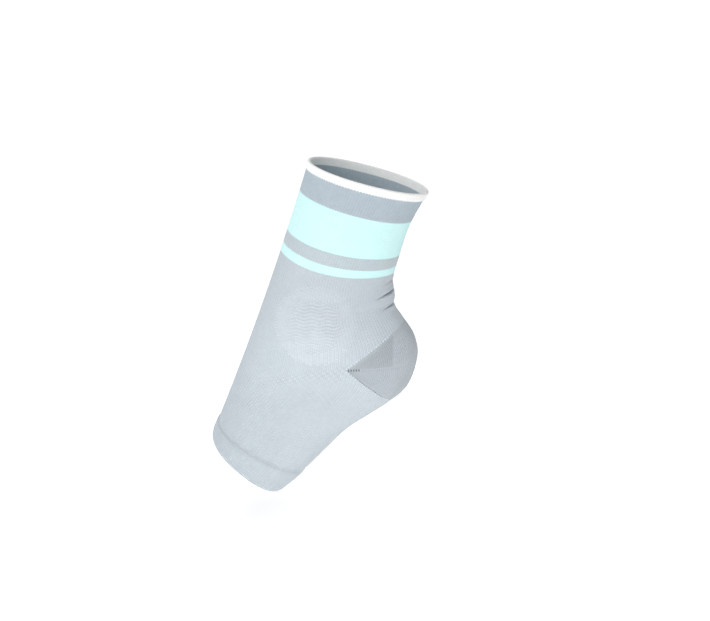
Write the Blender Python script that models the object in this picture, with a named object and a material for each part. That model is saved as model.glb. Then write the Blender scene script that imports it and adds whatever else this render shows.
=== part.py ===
"""Knitted ankle support, as it stands when it is worn: an open-toed sleeve with a turned heel.

The sleeve is a knitted tube. From its top edge down come a white welt, a grey rib band, a wide aqua band, a grey ring and
an aqua stripe, then the grey body over the ankle and instep, with a wedge-shaped heel pocket and a round ribbed zone over
each ankle bone, and last a doubled hem round the foot. Metres, +Z up. The origin is the centre of the ankle joint, whose
axis is Y; the toes point to -X and downwards, and the outer side of the foot faces -Y.
"""

import math
from collections import namedtuple

import bpy
import numpy as np
from mathutils.bvhtree import BVHTree

# Bands of the leg, as heights along the front of the sleeve
WELT_HEIGHT = 0.0056
CUFF_BAND_HEIGHT = 0.0158
AQUA_BAND_HEIGHT = 0.0281
GREY_RING_HEIGHT = 0.0087
AQUA_STRIPE_HEIGHT = 0.0060

# Foot end, along the front of the sleeve from the ankle's level
FOOT_LENGTH = 0.0900
HEM_HEIGHT = 0.0105

# Round zones over the ankle bones, and what keeps clear of them
ZONE_RADIUS = 0.0270
ZONE_TO_STRIPE = 0.0060
ZONE_TO_POCKET = 0.0090
RIDGE_HEIGHT = 0.0007

# Heel pocket, a wedge seen from the side: where its tip lies from the ankle's centre, and how its edges leave the tip
POCKET_TIP_BELOW_DEG = 57.0
POCKET_RISE_DEG = 35.0
POCKET_FALL_DEG = 40.0

# Front line, a shallow arc down the shin and the instep
FRONT_LEAN_DEG = 19.6
FRONT_RADIUS = 2.20
ANKLE_SETBACK = 0.0380

# Depths run from front to back and breadths from side to side, at four places of the sleeve
CUFF_DEPTH = 0.0795
CUFF_BREADTH = 0.0740
ANKLE_DEPTH = 0.0720
ANKLE_BREADTH = 0.0620
HEEL_DEPTH = 0.1163
HEEL_BREADTH = 0.0670
HEM_DEPTH = 0.0550
HEM_BREADTH = 0.0800

# Ankle bones under the knit. The outer one lies this far behind and below the ankle's centre, and the inner one as far
# before and above it.
BONE_RISE = 0.0040
BONE_RADIUS = 0.0170
BONE_SETBACK = 0.0030
BONE_DROP = 0.0045

# Thickness of the knit
BODY_WALL = 0.0015
BAND_WALL = 0.0017
POCKET_WALL = 0.0019
WELT_WALL = 0.0023
HEM_WALL = 0.0022

# Folds of slack knit behind the ankle
FOLD_HEIGHT = 0.0010
FOLD_HALF_WIDTH = 0.0034
FOLD_REACH = 0.0260
FOLD_SLANT = 0.55

# Neighbouring pieces are knitted on to each other in one course. The model keeps this much between them.
KNIT_GAP = 0.0004

# Fineness of the model
SIDE_STEPS = 18
DISC_SPOKES = 32
SKIN_STEPS = 96
SMALL_STEP = 0.0002
SHARP_ABOVE_DEG = 40.0

# Courses of the sleeve from the top edge to the foot hem. along is a share of the leg's length above the ankle, or of
# the foot's length below it. tilt is the fall of the course from front to back, in degrees below level. depth and
# breadth are shares of the sizes of the place that the course follows. widest is the share of the depth at which the
# course is broadest. front_form and back_form are the powers of its rounded ends, 2 for an ellipse and more for a
# squarer end. dip is how far the course sags at the sides, and crest how far the instep's ridge lies towards the inner
# side, as shares of the breadth.
Course = namedtuple("Course", "along tilt follows depth breadth widest front_form back_form dip crest")
COURSES = (
    Course(1.00, 14.5, "cuff", 1.000, 1.00, 0.50, 2.1, 2.1, 0.00, 0.00),
    Course(0.80, 15.0, "cuff", 0.935, 0.93, 0.48, 2.1, 2.1, 0.02, 0.00),
    Course(0.55, 12.6, "ankle", 1.015, 1.03, 0.46, 2.1, 2.0, 0.05, 0.00),
    Course(0.42, 11.2, "ankle", 1.015, 1.00, 0.44, 2.1, 1.9, 0.07, 0.00),
    Course(0.26, 6.4, "ankle", 1.080, 1.01, 0.44, 2.1, 1.9, 0.07, 0.00),
    Course(0.12, 1.8, "ankle", 1.150, 1.04, 0.44, 2.2, 1.9, 0.05, 0.00),
    Course(-0.06, -0.8, "heel", 0.845, 0.98, 0.42, 2.2, 2.0, 0.02, 0.01),
    Course(-0.235, -1.4, "heel", 0.965, 0.98, 0.42, 2.2, 2.2, 0.00, 0.02),
    Course(-0.335, 0.0, "heel", 1.000, 0.98, 0.42, 2.2, 2.4, 0.00, 0.03),
    Course(-0.42, 4.8, "heel", 0.980, 0.98, 0.44, 2.3, 2.5, 0.00, 0.04),
    Course(-0.52, 6.8, "heel", 0.905, 0.99, 0.46, 2.4, 2.5, 0.00, 0.05),
    Course(-0.60, 9.2, "heel", 0.795, 1.00, 0.48, 2.4, 2.5, 0.00, 0.05),
    Course(-0.695, 12.7, "hem", 1.455, 0.86, 0.48, 2.5, 2.4, 0.00, 0.05),
    Course(-0.80, 20.5, "hem", 1.275, 0.91, 0.49, 2.5, 2.3, 0.01, 0.05),
    Course(-0.905, 30.0, "hem", 1.140, 0.96, 0.49, 2.6, 2.2, 0.01, 0.05),
    Course(-1.00, 38.5, "hem", 1.010, 1.00, 0.48, 2.7, 2.2, 0.02, 0.05),
)
PLACES = {
    "cuff": (CUFF_DEPTH, CUFF_BREADTH),
    "ankle": (ANKLE_DEPTH, ANKLE_BREADTH),
    "heel": (HEEL_DEPTH, HEEL_BREADTH),
    "hem": (HEM_DEPTH, HEM_BREADTH),
}

# Ridges of the round zones: radius as a share of the zone's, and how much of the ridge height stands there
ZONE_RIDGES = (
    (0.00, 1.0),
    (0.12, 0.6),
    (0.24, 0.0),
    (0.36, 1.0),
    (0.48, 1.0),
    (0.60, 0.0),
    (0.74, 0.0),
    (0.86, 1.0),
    (1.00, 0.0),
)

# Folds behind the ankle: how far down the back each lies, as a share of the way from the aqua stripe to the ankle's
# level, and its share of the fold height
FOLDS = (
    (0.25, 0.90),
    (0.58, 1.00),
    (0.92, 0.50),
)


# Heights of the bands along the front line, from the ankle's level up. The stripe clears the round zones where its
# course lies lowest, at the sides, which is this share of the ankle's depth below its height at the front.
STRIPE_FALL = 0.17
BODY_TOP = ZONE_RADIUS + ZONE_TO_STRIPE + STRIPE_FALL * ANKLE_DEPTH
BODY_TOP /= math.cos(math.radians(FRONT_LEAN_DEG))
STRIPE_TOP = BODY_TOP + AQUA_STRIPE_HEIGHT
RING_TOP = STRIPE_TOP + GREY_RING_HEIGHT
AQUA_TOP = RING_TOP + AQUA_BAND_HEIGHT
CUFF_TOP = AQUA_TOP + CUFF_BAND_HEIGHT
LEG_LENGTH = CUFF_TOP + WELT_HEIGHT
HEM_TOP = HEM_HEIGHT - FOOT_LENGTH


def course_sizes():
    """The courses with their shares turned into metres and degrees, from the foot up."""
    rows = []
    for course in reversed(COURSES):
        depth, breadth = PLACES[course.follows]
        breadth *= course.breadth
        rows.append(
            (
                course.along * (LEG_LENGTH if course.along > 0 else FOOT_LENGTH),
                course.tilt,
                course.depth * depth,
                breadth,
                course.widest,
                course.front_form,
                course.back_form,
                course.dip * breadth,
                course.crest * breadth,
            )
        )
    return np.array(rows)


COURSE_SIZES = course_sizes()


def course_at(along):
    """Tilt, depth, breadth and the rest of the course at this height, smoothly between the listed ones."""
    heights = COURSE_SIZES[:, 0]
    low = int(np.clip(np.searchsorted(heights, along) - 1, 0, len(heights) - 2))
    slopes = np.gradient(COURSE_SIZES[:, 1:], heights, axis=0)
    span = heights[low + 1] - heights[low]
    t = (along - heights[low]) / span
    start, end = COURSE_SIZES[low, 1:], COURSE_SIZES[low + 1, 1:]
    return (
        start * (2 * t**3 - 3 * t**2 + 1)
        + slopes[low] * span * (t**3 - 2 * t**2 + t)
        + end * (3 * t**2 - 2 * t**3)
        + slopes[low + 1] * span * (t**3 - t**2)
    )


def front_point(along):
    """X and Z of the front line at this height."""
    turned = along / FRONT_RADIUS
    lean = math.radians(FRONT_LEAN_DEG) - turned / 2
    chord = 2 * FRONT_RADIUS * math.sin(turned / 2)
    return np.array((chord * math.sin(lean) - ANKLE_SETBACK, chord * math.cos(lean)))


def skin_course(along, turns):
    """Points of the skin under one course. turns run from 0 at the front over 0.25 at the outer side to 1."""
    tilt, depth, breadth, widest, front_form, back_form, dip, crest = course_at(along)
    angle = np.linspace(0, math.pi, SKIN_STEPS + 1)
    in_front = angle <= math.pi / 2
    power = 2 / np.where(in_front, front_form, back_form)
    towards_end = np.abs(np.cos(angle)) ** power
    share = np.where(in_front, widest * (1 - towards_end), widest + (1 - widest) * towards_end)
    bulge = np.abs(np.sin(angle)) ** power
    back = np.array((math.cos(math.radians(tilt)), -math.sin(math.radians(tilt))))
    down = np.array((back[1], -back[0]))
    line = front_point(along) + np.outer(share * depth, back) + np.outer(dip * bulge**2, down)
    points = np.empty((len(turns), 3))
    for side, chosen in ((-1, turns <= 0.5), (1, turns > 0.5)):
        across = side * bulge * breadth / 2 + crest * (1 - share) ** 2
        run = np.column_stack((line[:, 0], across, line[:, 1]))
        steps = np.linalg.norm(np.diff(run, axis=0), axis=1)
        lengths = np.concatenate(((0,), np.cumsum(steps))) / steps.sum()
        places = 2 * np.where(side < 0, turns[chosen], 1 - turns[chosen])
        for axis in range(3):
            points[chosen, axis] = np.interp(places, lengths, run[:, axis])
    side = np.sign(points[:, 1])
    from_bone = np.hypot(points[:, 0] + side * BONE_SETBACK, points[:, 2] - side * BONE_DROP)
    points[:, 1] += side * BONE_RISE * np.exp(-((from_bone / BONE_RADIUS) ** 2))
    return points


def lifted_course(along, turns, lift):
    """The course's points, this far out from the skin."""
    small = SMALL_STEP
    up = skin_course(along + small, turns) - skin_course(along - small, turns)
    small_turn = 0.5 / SKIN_STEPS
    ahead = skin_course(along, (turns + small_turn) % 1)
    behind = skin_course(along, (turns - small_turn) % 1)
    normals = np.cross(ahead - behind, up)
    normals /= np.linalg.norm(normals, axis=1, keepdims=True)
    return skin_course(along, turns) + normals * np.reshape(lift + np.zeros(len(turns)), (-1, 1))


def even_turns(side_steps):
    return np.arange(2 * side_steps) / (2 * side_steps)


def coloured(name, colour, roughness):
    material = bpy.data.materials.new(name)
    material.use_nodes = True
    shader = material.node_tree.nodes["Principled BSDF"]
    shader.inputs["Base Color"].default_value = (*colour, 1)
    shader.inputs["Roughness"].default_value = roughness
    shader.inputs["Metallic"].default_value = 0.0
    return material


def object_from(name, points, faces, material=None):
    mesh = bpy.data.meshes.new(name)
    mesh.from_pydata([tuple(p) for p in points], [], faces)
    if material:
        mesh.materials.append(material)
    mesh.shade_smooth()
    mesh.set_sharp_from_angle(angle=math.radians(SHARP_ABOVE_DEG))
    made = bpy.data.objects.new(name, mesh)
    bpy.context.scene.collection.objects.link(made)
    return made


def knitted_ring(name, profile, material, relief=None):
    """A closed ring round the leg or the foot. Its profile is (height, lift from the skin), up the outside and down the
    inside. relief(height, turns) pushes the whole wall out."""
    turns = even_turns(SIDE_STEPS)
    rows = []
    for along, lift in profile:
        pushed = relief(along, turns) if relief else 0
        rows.append(lifted_course(along, turns, lift + pushed))
    count, around = len(rows), len(turns)
    faces = []
    for i in range(count):
        for j in range(around):
            after, beside = (i + 1) % count, (j + 1) % around
            faces.append((i * around + j, i * around + beside, after * around + beside, after * around + j))
    return object_from(name, np.concatenate(rows), faces, material)


def plain_profile(low, high, wall, rows):
    """A flat wall of knit between two heights."""
    outside = [(h, wall) for h in np.linspace(low, high, rows + 1)]
    return outside + [(h, 0.0) for h, _ in reversed(outside)]


def rolled_profile(low, high, wall, rows, rolled_up):
    """A doubled edge: the knit is turned in, so the free end is round. rolled_up says whether that end is the top."""
    free, held = (high, low) if rolled_up else (low, high)
    inward = math.copysign(1, held - free)
    roll = [
        (free + inward * wall / 2 * (1 - math.cos(a)), wall / 2 * (1 + math.sin(a)))
        for a in np.radians((90, 45, 0, -45, -90))
    ]
    straight = np.linspace(held, roll[0][0], rows + 1)
    outside = [(h, wall) for h in straight[:-1]] + roll[:-1]
    inside = [roll[-1]] + [(h, 0.0) for h in straight[-2::-1]]
    loop = outside + inside
    return loop if rolled_up else loop[::-1]


def fold_relief(along, turns):
    """How far the slack knit behind the ankle stands out. Each fold is highest at the back and runs forward and down."""
    from_back = np.abs(turns - 0.5) * 2 * (ANKLE_DEPTH + ANKLE_BREADTH)
    fade = np.clip(1 - from_back / FOLD_REACH, 0, 1)
    stand = np.zeros(len(turns))
    for share, height in FOLDS:
        ridge = BODY_TOP * (1 - share) - from_back * FOLD_SLANT
        away = np.clip(np.abs(along - ridge) / FOLD_HALF_WIDTH, 0, 1)
        stand = np.maximum(stand, height * FOLD_HEIGHT * np.cos(away * math.pi / 2) ** 2)
    return stand * fade


def body_heights():
    """Courses of the body: close together behind the ankle, where the folds lie, and wider apart elsewhere."""
    folds_low = -0.25 * BODY_TOP
    above = np.linspace(BODY_TOP - KNIT_GAP, folds_low, 20)
    below = np.linspace(folds_low, HEM_TOP + KNIT_GAP, 13)
    return np.concatenate((above, below[1:]))[::-1]


def body_profile(wall):
    outside = [(h, wall) for h in body_heights()]
    return outside + [(h, 0.0) for h, _ in reversed(outside)]


def across_cutter(name, outline, near, far):
    """A prism along Y that only cuts others. Its outline in X and Z is counter-clockwise as seen from -Y."""
    count = len(outline)
    points = [(x, y, z) for y in (near, far) for x, z in outline]
    faces = [tuple(range(count)), tuple(range(2 * count - 1, count - 1, -1))]
    for i in range(count):
        after = (i + 1) % count
        faces.append((after, i, i + count, after + count))
    cutter = object_from(name, points, faces)
    cutter.hide_render = True
    cutter.display_type = "WIRE"
    return cutter


def pocket_outline(grown):
    """The heel pocket's wedge seen from the side, with its edges moved out by this much."""
    rise, fall = math.radians(POCKET_RISE_DEG), math.radians(POCKET_FALL_DEG)
    below = math.radians(POCKET_TIP_BELOW_DEG)
    tip_distance = ZONE_RADIUS + ZONE_TO_POCKET
    middle = (rise - fall) / 2
    forward = grown / math.sin((rise + fall) / 2)
    tip = np.array((math.cos(below), -math.sin(below))) * tip_distance
    tip -= forward * np.array((math.cos(middle), math.sin(middle)))
    reach = 2 * HEEL_DEPTH
    upper = tip + reach * np.array((math.cos(rise), math.sin(rise)))
    lower = tip + reach * np.array((math.cos(fall), -math.sin(fall)))
    return [tip, lower, upper]


def circle_outline(radius):
    return [
        (radius * math.cos(a), radius * math.sin(a))
        for a in 2 * math.pi * np.arange(DISC_SPOKES) / DISC_SPOKES
    ]


def cut(piece, cutter, operation):
    modifier = piece.modifiers.new(f"{operation.lower()} {cutter.name}", "BOOLEAN")
    modifier.operation = operation
    modifier.object = cutter
    modifier.solver = "EXACT"


def surface_tree(lift):
    """The sleeve's surface at this lift, fine enough to find points of it by a line along Y."""
    turns = even_turns(SKIN_STEPS)
    heights = np.linspace(BODY_TOP, -FOOT_LENGTH, SKIN_STEPS)
    points = np.concatenate([lifted_course(h, turns, lift) for h in heights])
    around = len(turns)
    faces = [
        (i * around + j, i * around + (j + 1) % around, (i + 1) * around + (j + 1) % around, (i + 1) * around + j)
        for i in range(len(heights) - 1)
        for j in range(around)
    ]
    return BVHTree.FromPolygons([tuple(p) for p in points], faces)


def zone_disc(name, side, trees, material):
    """The round zone on one side: a disc of the sleeve's wall with ridges in rings. Its edge is upright in Y, like the
    window that it sits in."""
    skin_tree, outer_tree = trees
    radius = ZONE_RADIUS - KNIT_GAP
    points, faces = [], []

    def height(tree, x, z):
        return tree.ray_cast((x, side * 2 * HEEL_BREADTH, z), (0, -side, 0))[0].y

    spots = [(0.0, 0.0, ZONE_RIDGES[0][1])]
    for share, stand in ZONE_RIDGES[1:]:
        spots += [(radius * share * x, radius * share * z, stand) for x, z in circle_outline(1)]
    points += [(x, height(outer_tree, x, z) + side * RIDGE_HEIGHT * stand, z) for x, z, stand in spots]
    points += [(x, height(skin_tree, x, z), z) for x, z, _ in spots]
    inner = len(spots)
    for j in range(DISC_SPOKES):
        beside = (j + 1) % DISC_SPOKES
        faces.append((0, 1 + j, 1 + beside))
        faces.append((inner, inner + 1 + beside, inner + 1 + j))
        for ring in range(len(ZONE_RIDGES) - 2):
            first = 1 + ring * DISC_SPOKES
            quad = (first + j, first + DISC_SPOKES + j, first + DISC_SPOKES + beside, first + beside)
            faces.append(quad)
            faces.append(tuple(inner + corner for corner in reversed(quad)))
        last = 1 + (len(ZONE_RIDGES) - 2) * DISC_SPOKES
        faces.append((last + j, inner + last + j, inner + last + beside, last + beside))
    if side > 0:
        faces = [tuple(reversed(face)) for face in faces]
    return object_from(name, points, faces, material)


def main():
    for old in list(bpy.data.objects):
        bpy.data.objects.remove(old)
    white = coloured("white_yarn", (0.93, 0.94, 0.94), 0.80)
    cuff_grey = coloured("cuff_grey_yarn", (0.46, 0.55, 0.62), 0.85)
    aqua = coloured("aqua_yarn", (0.62, 0.93, 0.94), 0.82)
    body_grey = coloured("body_grey_yarn", (0.57, 0.64, 0.69), 0.85)
    heel_grey = coloured("heel_grey_yarn", (0.45, 0.50, 0.55), 0.88)
    zone_grey = coloured("zone_grey_yarn", (0.62, 0.68, 0.73), 0.85)

    welt = rolled_profile(CUFF_TOP, LEG_LENGTH, WELT_WALL, 1, True)
    knitted_ring("top_welt", welt, white)
    bands = (
        ("cuff_band", AQUA_TOP, CUFF_TOP, cuff_grey, 2),
        ("aqua_band", RING_TOP, AQUA_TOP, aqua, 4),
        ("grey_ring", STRIPE_TOP, RING_TOP, cuff_grey, 2),
        ("aqua_stripe", BODY_TOP, STRIPE_TOP, aqua, 1),
    )
    for name, low, high, material, rows in bands:
        knitted_ring(name, plain_profile(low, high - KNIT_GAP, BAND_WALL, rows), material)

    body = knitted_ring("sleeve_body", body_profile(BODY_WALL), body_grey, fold_relief)
    pocket = knitted_ring("heel_pocket", body_profile(POCKET_WALL), heel_grey)
    far = 2 * HEEL_BREADTH
    cut(body, across_cutter("pocket_window_cutter", pocket_outline(KNIT_GAP), -far, far), "DIFFERENCE")
    cut(pocket, across_cutter("pocket_cutter", pocket_outline(0), -far, far), "INTERSECT")

    trees = surface_tree(0), surface_tree(BODY_WALL)
    for name, side in (("outer_ankle_zone", -1), ("inner_ankle_zone", 1)):
        near, beyond = sorted((0, side * far))
        cutter = across_cutter(name + "_cutter", circle_outline(ZONE_RADIUS), near, beyond)
        cut(body, cutter, "DIFFERENCE")
        zone_disc(name, side, trees, zone_grey)

    hem = rolled_profile(-FOOT_LENGTH, HEM_TOP, HEM_WALL, 2, False)
    knitted_ring("foot_hem", hem, body_grey)


main()
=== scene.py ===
# Knitted ankle support, dressed for its picture. It is knitted in one go on a circular machine, so every
# piece below is a stretch of the same tube, from the top edge down to the foot hem. Metres, +Z up, the toe
# side to -X and the outer side to -Y.

import math
from collections import namedtuple

import bmesh
import bpy
import numpy as np
from mathutils import Matrix, Vector
from mathutils.bvhtree import BVHTree


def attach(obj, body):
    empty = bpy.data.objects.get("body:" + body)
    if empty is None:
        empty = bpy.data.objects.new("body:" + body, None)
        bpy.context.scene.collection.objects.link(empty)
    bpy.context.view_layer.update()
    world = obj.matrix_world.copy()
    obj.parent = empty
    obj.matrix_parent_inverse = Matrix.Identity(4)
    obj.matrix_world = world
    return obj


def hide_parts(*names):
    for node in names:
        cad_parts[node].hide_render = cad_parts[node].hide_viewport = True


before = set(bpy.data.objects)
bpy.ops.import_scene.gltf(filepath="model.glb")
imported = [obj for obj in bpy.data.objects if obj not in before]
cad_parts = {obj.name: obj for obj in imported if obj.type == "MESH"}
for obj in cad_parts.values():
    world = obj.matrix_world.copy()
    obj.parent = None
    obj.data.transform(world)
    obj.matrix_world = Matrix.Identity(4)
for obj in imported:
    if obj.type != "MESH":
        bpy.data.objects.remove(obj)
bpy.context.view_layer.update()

# Top welt
# The sleeve's first courses, its rows of knitting, in white yarn. They are turned in on themselves, so that
# the edge is double and round. Its wales, the columns of stitches, run down from here to the foot hem.

WELT_HEIGHT = 0.0056
WELT_WALL = 0.0023
WELT_ROLL = 0.0009
WELT_RIB = 0.00016
WELT_GROOVE = 0.0006
WELT_ROWS = 7
WELT_INNER_ROWS = 5
FOLD_STEPS = 8

# Where the welt stands follows from the bands below it, down to the round zone over the ankle bone
CUFF_BAND_HEIGHT = 0.0158
AQUA_BAND_HEIGHT = 0.0281
GREY_RING_HEIGHT = 0.0087
AQUA_STRIPE_HEIGHT = 0.0060
ZONE_RADIUS = 0.0270
ZONE_TO_STRIPE = 0.0060
STRIPE_FALL = 0.17
FOOT_LENGTH = 0.0900

# The tube keeps its worn form: a depth and a breadth at each place, a front that leans and bends, and sides
# that stand out over the ankle bones
PLACES = {
    "cuff": (0.0795, 0.0740),
    "ankle": (0.0720, 0.0620),
    "heel": (0.1163, 0.0670),
    "hem": (0.0550, 0.0800),
}
FRONT_LEAN = math.radians(19.6)
FRONT_RADIUS = 2.20
ANKLE_SETBACK = 0.0380
BONE_RISE = 0.0040
BONE_RADIUS = 0.0170
BONE_SETBACK = 0.0030
BONE_DROP = 0.0045

# along is a share of the sleeve's leg above the ankle or of its foot below it, tilt the fall from front to
# back in degrees, depth and breadth shares of the place's sizes, and widest where the course is broadest.
# The forms are the powers of its rounded ends. dip is the sag of its sides and crest the shift of its
# front, as shares of the breadth.
Course = namedtuple("Course", "along tilt place depth breadth widest front_form back_form dip crest")
COURSES = (
    Course(1.00, 14.5, "cuff", 1.000, 1.00, 0.50, 2.1, 2.1, 0.00, 0.00),
    Course(0.80, 15.0, "cuff", 0.940, 0.93, 0.48, 2.1, 2.1, 0.02, 0.00),
    Course(0.55, 12.6, "ankle", 1.035, 1.03, 0.46, 2.1, 2.0, 0.05, 0.00),
    Course(0.42, 11.2, "ankle", 1.045, 1.00, 0.44, 2.1, 1.9, 0.07, 0.00),
    Course(0.26, 6.4, "ankle", 1.103, 1.01, 0.44, 2.1, 1.9, 0.07, 0.00),
    Course(0.17, 3.4, "ankle", 1.160, 1.03, 0.44, 2.2, 1.9, 0.06, 0.00),
    Course(0.12, 1.8, "ankle", 1.170, 1.04, 0.44, 2.2, 1.9, 0.05, 0.00),
    Course(-0.06, -0.8, "heel", 0.845, 0.98, 0.42, 2.2, 2.0, 0.02, 0.01),
    Course(-0.235, -1.4, "heel", 0.955, 0.98, 0.42, 2.2, 2.2, 0.00, 0.02),
    Course(-0.335, 0.0, "heel", 0.992, 0.98, 0.42, 2.2, 2.4, 0.00, 0.03),
    Course(-0.42, 4.8, "heel", 0.974, 0.98, 0.44, 2.3, 2.5, 0.00, 0.04),
    Course(-0.52, 6.8, "heel", 0.905, 0.99, 0.46, 2.4, 2.5, 0.00, 0.05),
    Course(-0.60, 9.2, "heel", 0.810, 1.00, 0.48, 2.4, 2.5, 0.00, 0.05),
    Course(-0.695, 12.7, "hem", 1.490, 0.86, 0.48, 2.5, 2.4, 0.00, 0.05),
    Course(-0.80, 20.5, "hem", 1.305, 0.91, 0.49, 2.5, 2.3, 0.01, 0.05),
    Course(-0.905, 30.0, "hem", 1.160, 0.96, 0.49, 2.6, 2.2, 0.01, 0.05),
    Course(-1.00, 38.5, "hem", 1.030, 1.00, 0.48, 2.7, 2.2, 0.02, 0.05),
)

BODY_TOP = (ZONE_RADIUS + ZONE_TO_STRIPE + STRIPE_FALL * PLACES["ankle"][0]) / math.cos(FRONT_LEAN)
STRIPE_TOP = BODY_TOP + AQUA_STRIPE_HEIGHT
RING_TOP = STRIPE_TOP + GREY_RING_HEIGHT
AQUA_TOP = RING_TOP + AQUA_BAND_HEIGHT
CUFF_TOP = AQUA_TOP + CUFF_BAND_HEIGHT
LEG_LENGTH = CUFF_TOP + WELT_HEIGHT

COURSE_SIZES = np.array(
    [
        (
            c.along * (LEG_LENGTH if c.along > 0 else FOOT_LENGTH),
            c.tilt,
            c.depth * PLACES[c.place][0],
            c.breadth * PLACES[c.place][1],
            c.widest,
            c.front_form,
            c.back_form,
            c.dip * c.breadth * PLACES[c.place][1],
            c.crest * c.breadth * PLACES[c.place][1],
        )
        for c in reversed(COURSES)
    ]
)
COURSE_SLOPES = np.gradient(COURSE_SIZES[:, 1:], COURSE_SIZES[:, 0], axis=0)

SKIN_ROWS = 404
SKIN_COLUMNS = 720


def swell(away, half_width):
    """A soft rise: 1 in its middle, and fading out on both sides of it."""
    return np.exp(-((away / half_width) ** 2))


def ramp(away, width):
    """Climbs evenly from 0 to 1 over this width."""
    return np.clip(away / width, 0, 1)


def run_lengths(points):
    """How far along a run of points each of them lies."""
    return np.concatenate(((0,), np.cumsum(np.linalg.norm(np.diff(points, axis=0), axis=1))))


def course_at(along):
    """Tilt, depth, breadth and the rest of the course at this height, smoothly between the listed ones."""
    heights = COURSE_SIZES[:, 0]
    low = int(np.clip(np.searchsorted(heights, along) - 1, 0, len(heights) - 2))
    span = heights[low + 1] - heights[low]
    t = (along - heights[low]) / span
    start, end = COURSE_SIZES[low, 1:], COURSE_SIZES[low + 1, 1:]
    return (
        start * (2 * t**3 - 3 * t**2 + 1)
        + COURSE_SLOPES[low] * span * (t**3 - 2 * t**2 + t)
        + end * (3 * t**2 - 2 * t**3)
        + COURSE_SLOPES[low + 1] * span * (t**3 - t**2)
    )


def skin_course(along):
    """The points of one course on the knit's inner side, from the front over the outer side, the back and
    the inner side of the leg."""
    tilt, depth, breadth, widest, front_form, back_form, dip, crest = course_at(along)
    angle = np.linspace(0, math.pi, SKIN_COLUMNS // 2 + 1)
    in_front = angle <= math.pi / 2
    power = 2 / np.where(in_front, front_form, back_form)
    towards_end = np.abs(np.cos(angle)) ** power
    share = np.where(in_front, widest * (1 - towards_end), widest + (1 - widest) * towards_end)
    bulge = np.abs(np.sin(angle)) ** power
    back = np.array((math.cos(math.radians(tilt)), -math.sin(math.radians(tilt))))
    down = np.array((back[1], -back[0]))
    turned = along / FRONT_RADIUS
    chord = 2 * FRONT_RADIUS * math.sin(turned / 2)
    lean = FRONT_LEAN - turned / 2
    front = np.array((chord * math.sin(lean) - ANKLE_SETBACK, chord * math.cos(lean)))
    line = front + np.outer(share * depth, back) + np.outer(dip * bulge**2, down)
    turns = np.arange(SKIN_COLUMNS) / SKIN_COLUMNS
    points = np.empty((SKIN_COLUMNS, 3))
    for side, chosen in ((-1, turns <= 0.5), (1, turns > 0.5)):
        across = side * bulge * breadth / 2 + crest * (1 - share) ** 2
        run = np.column_stack((line[:, 0], across, line[:, 1]))
        lengths = run_lengths(run)
        places = 2 * np.where(side < 0, turns[chosen], 1 - turns[chosen])
        for axis in range(3):
            points[chosen, axis] = np.interp(places, lengths / lengths[-1], run[:, axis])
    sides = np.sign(points[:, 1])
    from_bone = np.hypot(points[:, 0] + sides * BONE_SETBACK, points[:, 2] - sides * BONE_DROP)
    points[:, 1] += sides * BONE_RISE * swell(from_bone, BONE_RADIUS)
    return points


# The skin is the knit's inner side, lofted through the courses from the foot hem up to the top edge
SKIN_HEIGHTS = np.linspace(-FOOT_LENGTH, LEG_LENGTH, SKIN_ROWS)
SKIN = np.array([skin_course(h) for h in SKIN_HEIGHTS])
RIGHT_AROUND = np.roll(SKIN, -1, axis=1) - np.roll(SKIN, 1, axis=1)
OUTWARD = np.cross(RIGHT_AROUND, np.gradient(SKIN, axis=0))
OUTWARD /= np.linalg.norm(OUTWARD, axis=2, keepdims=True)
UNDER_LAST_ROW = SKIN_ROWS - 1.0001


def read_grid(grid, along, turn):
    """The grid's value at these heights and turns, between its rows and columns."""
    row = (along - SKIN_HEIGHTS[0]) / (SKIN_HEIGHTS[1] - SKIN_HEIGHTS[0])
    row = np.clip(row, 0, UNDER_LAST_ROW)
    column = (turn % 1) * SKIN_COLUMNS
    r, c = row.astype(int), column.astype(int) % SKIN_COLUMNS
    dr, dc = (row - r)[..., None], (column - column.astype(int))[..., None]
    beside = (c + 1) % SKIN_COLUMNS
    low = grid[r, c] * (1 - dc) + grid[r, beside] * dc
    high = grid[r + 1, c] * (1 - dc) + grid[r + 1, beside] * dc
    return low * (1 - dr) + high * dr


def on_sleeve(along, turn, lift=0.0):
    """Points this far out from the skin."""
    return read_grid(SKIN, along, turn) + read_grid(OUTWARD, along, turn) * np.asarray(lift)[..., None]


SHARP_ABOVE = math.radians(60)
WALES = 120
WALE_STEPS = 4
COURSE_PITCH = 0.00115
SLANT = 0.00070
SLANT_FADE = 0.0040


def wale_offset(turn):
    """How far a place is from the middle of its wale, as a share of the wale's width, from 0 to a half."""
    return np.abs((turn * WALES + 0.5) % 1 - 0.5)


def stitch_slant(along, turn):
    """Each stitch is a V, so a course dips in the middle of every wale. Both turned edges are straight."""
    fade = ramp(LEG_LENGTH - along, SLANT_FADE) * ramp(along + FOOT_LENGTH, SLANT_FADE)
    return SLANT * 2 * wale_offset(turn) * fade


def ribs(turn, height):
    """The rise of each wale over the furrows beside it."""
    return height * np.cos(2 * math.pi * WALES * turn)


def link(mesh, material, slot, *nodes):
    """Puts a finished mesh into the scene as the piece for these nodes, smooth but for its cut edges."""
    mesh.materials.append(material)
    mesh.shade_smooth()
    mesh.set_sharp_from_angle(angle=SHARP_ABOVE)
    piece = bpy.data.objects.new(mesh.name, mesh)
    bpy.context.scene.collection.objects.link(piece)
    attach(piece, "root")
    if nodes:
        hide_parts(*nodes)


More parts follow.
